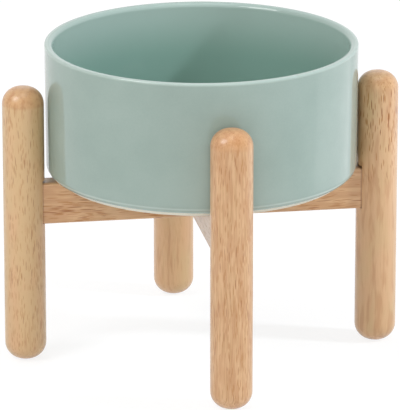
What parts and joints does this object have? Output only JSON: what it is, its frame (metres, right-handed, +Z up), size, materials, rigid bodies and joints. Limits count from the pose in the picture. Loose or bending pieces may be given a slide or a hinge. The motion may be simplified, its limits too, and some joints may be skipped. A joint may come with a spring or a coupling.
{
  "type": "raised pet bowl",
  "caption": "Round glazed ceramic pet bowl raised on a crossed wooden stand with round domed legs; the bowl lifts out and the stand's frames slide apart.",
  "frame": {"origin": "on the floor, under the middle of the bowl", "axes": "+Z up, +X towards the right leg, +Y towards the back leg"},
  "size_m": [0.2164, 0.2164, 0.174],
  "materials": {
    "glaze": "gloss sage green glaze, bare pale clay on the foot ring",
    "lacquered_wood": "satin clear lacquer on pale fine-pored hardwood",
    "dowel_wood": "bare beech"
  },
  "bodies": {
    "lower_frame": {"left_leg": "lacquered_wood", "right_leg": "lacquered_wood", "lower_rail": "lacquered_wood", "left_upper_dowel": "dowel_wood", "left_lower_dowel": "dowel_wood", "right_upper_dowel": "dowel_wood", "right_lower_dowel": "dowel_wood"},
    "upper_frame": {"front_leg": "lacquered_wood", "back_leg": "lacquered_wood", "upper_rail": "lacquered_wood", "front_upper_dowel": "dowel_wood", "front_lower_dowel": "dowel_wood", "back_upper_dowel": "dowel_wood", "back_lower_dowel": "dowel_wood"},
    "bowl": {"bowl": "glaze"}
  },
  "joints": [
    {"name": "frame_lift", "type": "slide", "parent": "lower_frame", "child": "upper_frame", "axis": [0, 0, 1], "range_m": [0, 0.03]},
    {"name": "bowl_lift", "type": "slide", "parent": "upper_frame", "child": "bowl", "axis": [0, 0, 1], "range_m": [0, 0.06]}
  ]
}
